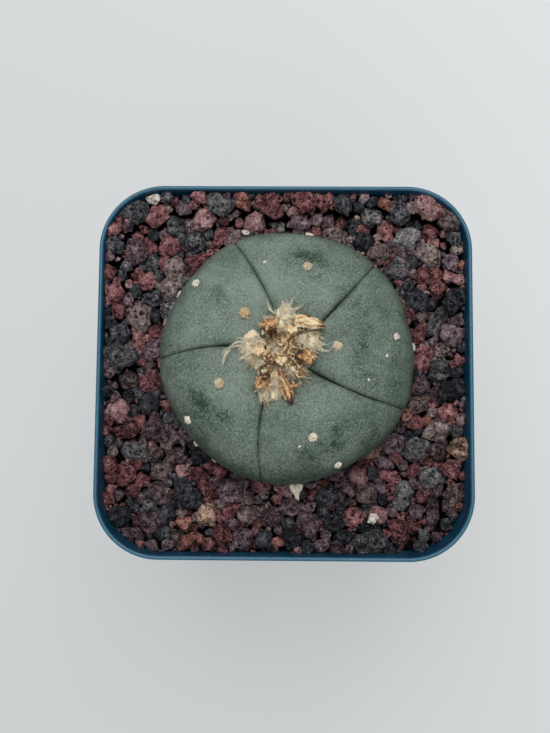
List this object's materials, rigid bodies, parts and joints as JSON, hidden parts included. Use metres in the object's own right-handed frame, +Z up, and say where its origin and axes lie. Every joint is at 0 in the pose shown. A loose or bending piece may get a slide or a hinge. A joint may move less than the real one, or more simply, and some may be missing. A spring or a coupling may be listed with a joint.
{
  "type": "potted button cactus",
  "caption": "Spineless ribbed globe cactus with a woolly crown and dried flowers, standing in lava gravel in a square tapered plastic pot.",
  "frame": {"origin": "on the table under the middle of the pot's foot", "axes": "+Z up, out of the pot; +X to the right and +Y away from the viewer in the picture, each along a side of the square pot"},
  "size_m": [0.08, 0.08, 0.0846],
  "materials": {
    "pot_plastic": "satin moulded teal-blue plastic",
    "lava_stone": "rough scoria in maroon, purple-grey, black and tan",
    "cactus_skin": "waxy blue-green skin with a fine pale bloom, cream tufts on the ribs",
    "wool": "cream plant wool",
    "dried_petal": "papery dried flower remains, tan to brown"
  },
  "bodies": {
    "root": {"pot": "pot_plastic", "lava_gravel": "lava_stone", "cactus": "cactus_skin", "crown_wool": "wool", "dried_flower_1": "dried_petal", "dried_flower_2": "dried_petal", "dried_flower_3": "dried_petal", "dried_flower_4": "dried_petal", "dried_flower_5": "dried_petal", "dried_flower_6": "dried_petal", "dried_flower_7": "dried_petal", "dried_flower_8": "dried_petal"}
  },
  "joints": []
}
